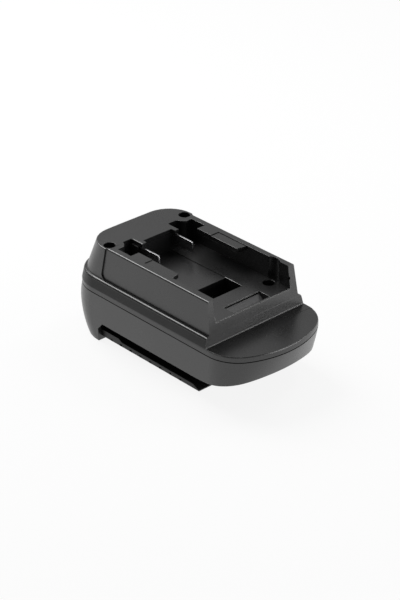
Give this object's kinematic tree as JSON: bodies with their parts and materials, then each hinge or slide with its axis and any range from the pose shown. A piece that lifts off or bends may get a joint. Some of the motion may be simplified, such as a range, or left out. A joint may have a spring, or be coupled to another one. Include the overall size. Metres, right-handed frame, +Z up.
{
  "type": "tool battery adapter",
  "caption": "Moulded battery adapter for a cordless tool: a half-moon fronted housing with a battery channel and contact blades on top, and a notched rail with a sprung latch underneath.",
  "frame": {"origin": "centre of the footprint, at the flat underside of the heel", "axes": "+X towards the half-moon front, +Z up towards the battery channel, +Y to the left seen from behind"},
  "size_m": [0.1427, 0.072, 0.0584],
  "materials": {
    "shell": "fine satin moulding texture",
    "shoe": "satin, slightly glossier on the sliding faces",
    "block": "satin",
    "button": "satin with grip ribs",
    "plated_contact": "bright tin plating",
    "red_insulation": "smooth soft insulation",
    "black_insulation": "smooth soft insulation",
    "shrink_sleeve": "semi-matt shrink tube",
    "spring_steel": "drawn wire",
    "screw_steel": "zinc plated"
  },
  "bodies": {
    "housing": {"upper_shell": "shell", "lower_shell": "shell", "tool_shoe": "shoe", "battery_terminal_block": "block", "positive_blade": "plated_contact", "negative_blade": "plated_contact", "tool_terminal_block": "block", "positive_clip": "plated_contact", "negative_clip": "plated_contact", "positive_lead": "red_insulation", "negative_lead": "black_insulation", "positive_sleeve": "shrink_sleeve", "negative_sleeve": "shrink_sleeve", "latch_spring_left": "spring_steel", "latch_spring_right": "spring_steel", "housing_screws": "screw_steel", "shoe_screws": "screw_steel", "block_screws": "screw_steel"},
    "latch": {"latch_tongue": "shoe", "release_button": "button"}
  },
  "joints": [
    {"name": "latch_slide", "type": "slide", "parent": "housing", "child": "latch", "axis": [0, 0, 1], "range_m": [0, 0.004], "stiffness_N_per_m": 1600, "springref_m": -0.004, "deforming": ["latch_spring_left", "latch_spring_right"]}
  ]
}
